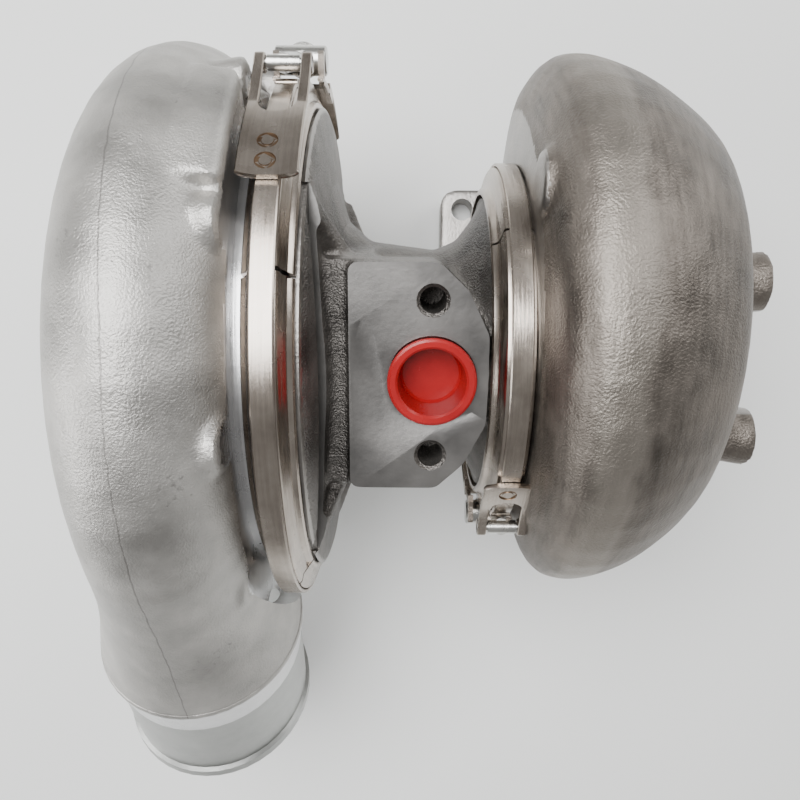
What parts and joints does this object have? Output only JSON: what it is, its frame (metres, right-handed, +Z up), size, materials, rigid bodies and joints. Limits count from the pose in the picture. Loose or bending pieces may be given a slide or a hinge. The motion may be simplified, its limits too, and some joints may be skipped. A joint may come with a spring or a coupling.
{
  "type": "turbocharger",
  "caption": "Diesel turbocharger: cast compressor cover, twin-entry turbine housing and bearing housing held by V-band clamps, with a spinning rotor and an oil drain cap.",
  "frame": {"origin": "centre of the turbine inlet flange's face, on the wall between its two ports", "axes": "+X along the shaft from the compressor towards the turbine outlet, +Z up away from the inlet flange, through the oil drain, +Y to the turbine scroll's side"},
  "size_m": [0.2548, 0.2845, 0.2163],
  "materials": {
    "cover_aluminium": "cast, matte",
    "housing_iron": "rough sand cast",
    "turbine_iron": "sand cast, brushed",
    "clamp_steel": "half-polished stainless",
    "steel": "machined",
    "machined_aluminium": "machined",
    "turbine_alloy": "cast nickel alloy",
    "bearing_bronze": "machined bronze",
    "seal_rubber": "smooth",
    "cap_plastic": "moulded"
  },
  "bodies": {
    "housing": {"compressor_cover": "cover_aluminium", "cover_o_ring": "seal_rubber", "seal_plate": "machined_aluminium", "seal_plate_o_ring": "seal_rubber", "seal_plate_screw_1": "steel", "seal_plate_screw_2": "steel", "seal_plate_screw_3": "steel", "seal_plate_screw_4": "steel", "oil_baffle": "steel", "compressor_piston_ring": "steel", "bearing_housing": "housing_iron", "thrust_bearing": "bearing_bronze", "thrust_bearing_screw_1": "steel", "thrust_bearing_screw_2": "steel", "thrust_bearing_screw_3": "steel", "compressor_snap_ring": "steel", "turbine_inner_snap_ring": "steel", "turbine_outer_snap_ring": "steel", "turbine_piston_ring": "steel", "heat_shield": "clamp_steel", "turbine_housing": "turbine_iron", "compressor_clamp_segment_1": "clamp_steel", "compressor_clamp_segment_2": "clamp_steel", "compressor_clamp_segment_3": "clamp_steel", "compressor_clamp_segment_4": "clamp_steel", "compressor_clamp_segment_5": "clamp_steel", "compressor_clamp_strap": "clamp_steel", "compressor_clamp_fork": "clamp_steel", "compressor_clamp_hooks": "clamp_steel", "turbine_clamp_segment_1": "clamp_steel", "turbine_clamp_segment_2": "clamp_steel", "turbine_clamp_segment_3": "clamp_steel", "turbine_clamp_strap": "clamp_steel", "turbine_clamp_fork": "clamp_steel", "turbine_clamp_hooks": "clamp_steel"},
    "rotor": {"compressor_wheel": "machined_aluminium", "shaft_nut": "steel", "seal_sleeve": "steel", "thrust_collar": "steel", "thrust_washer": "steel", "turbine_wheel_and_shaft": "turbine_alloy"},
    "compressor_bearing": {"compressor_journal_bearing": "bearing_bronze"},
    "turbine_bearing": {"turbine_journal_bearing": "bearing_bronze"},
    "compressor_bolt": {"compressor_clamp_t_bolt": "steel"},
    "compressor_trunnion": {"compressor_clamp_trunnion": "steel"},
    "compressor_nut": {"compressor_clamp_nut": "steel"},
    "turbine_bolt": {"turbine_clamp_t_bolt": "steel"},
    "turbine_trunnion": {"turbine_clamp_trunnion": "steel"},
    "turbine_nut": {"turbine_clamp_nut": "steel"},
    "cap": {"drain_cap": "cap_plastic"}
  },
  "joints": [
    {"name": "rotor_spin", "type": "hinge", "parent": "housing", "child": "rotor", "pos_m": [-0.08, -0.03, 0.104], "axis": [1, 0, 0], "continuous": true},
    {"name": "compressor_bearing_spin", "type": "hinge", "parent": "housing", "child": "compressor_bearing", "pos_m": [-0.08, -0.03, 0.104], "axis": [1, 0, 0], "continuous": true},
    {"name": "turbine_bearing_spin", "type": "hinge", "parent": "housing", "child": "turbine_bearing", "pos_m": [-0.08, -0.03, 0.104], "axis": [1, 0, 0], "continuous": true},
    {"name": "compressor_bolt_swing", "type": "hinge", "parent": "housing", "child": "compressor_bolt", "pos_m": [-0.117, 0.05416, 0.16092], "axis": [1, 0, 0], "range_deg": [0, 70]},
    {"name": "compressor_trunnion_slide", "type": "slide", "parent": "compressor_bolt", "child": "compressor_trunnion", "axis": [0, 0.3769, -0.9263], "range_m": [0, 0.008]},
    {"name": "compressor_nut_turn", "type": "hinge", "parent": "compressor_trunnion", "child": "compressor_nut", "pos_m": [-0.117, 0.06999, 0.12201], "axis": [0, 0.3769, -0.9263], "range_deg": [0, 3175.8]},
    {"name": "turbine_bolt_swing", "type": "hinge", "parent": "housing", "child": "turbine_bolt", "pos_m": [-0.0435, -0.09649, 0.1314], "axis": [-1, 0, 0], "range_deg": [0, 70]},
    {"name": "turbine_trunnion_slide", "type": "slide", "parent": "turbine_bolt", "child": "turbine_trunnion", "axis": [0, -0.0943, -0.9955], "range_m": [0, 0.008]},
    {"name": "turbine_nut_turn", "type": "hinge", "parent": "turbine_trunnion", "child": "turbine_nut", "pos_m": [-0.0435, -0.10045, 0.08958], "axis": [0, -0.0943, -0.9955], "range_deg": [0, 3175.8]},
    {"name": "drain_cap_pull", "type": "slide", "parent": "housing", "child": "cap", "axis": [0, -0.225, 0.9744], "range_m": [0, 0.014]}
  ],
  "couplings": [
    {"joint": "compressor_nut_turn", "follows": "compressor_trunnion_slide", "rad_per_m": 6926.4},
    {"joint": "turbine_nut_turn", "follows": "turbine_trunnion_slide", "rad_per_m": 6926.4}
  ]
}
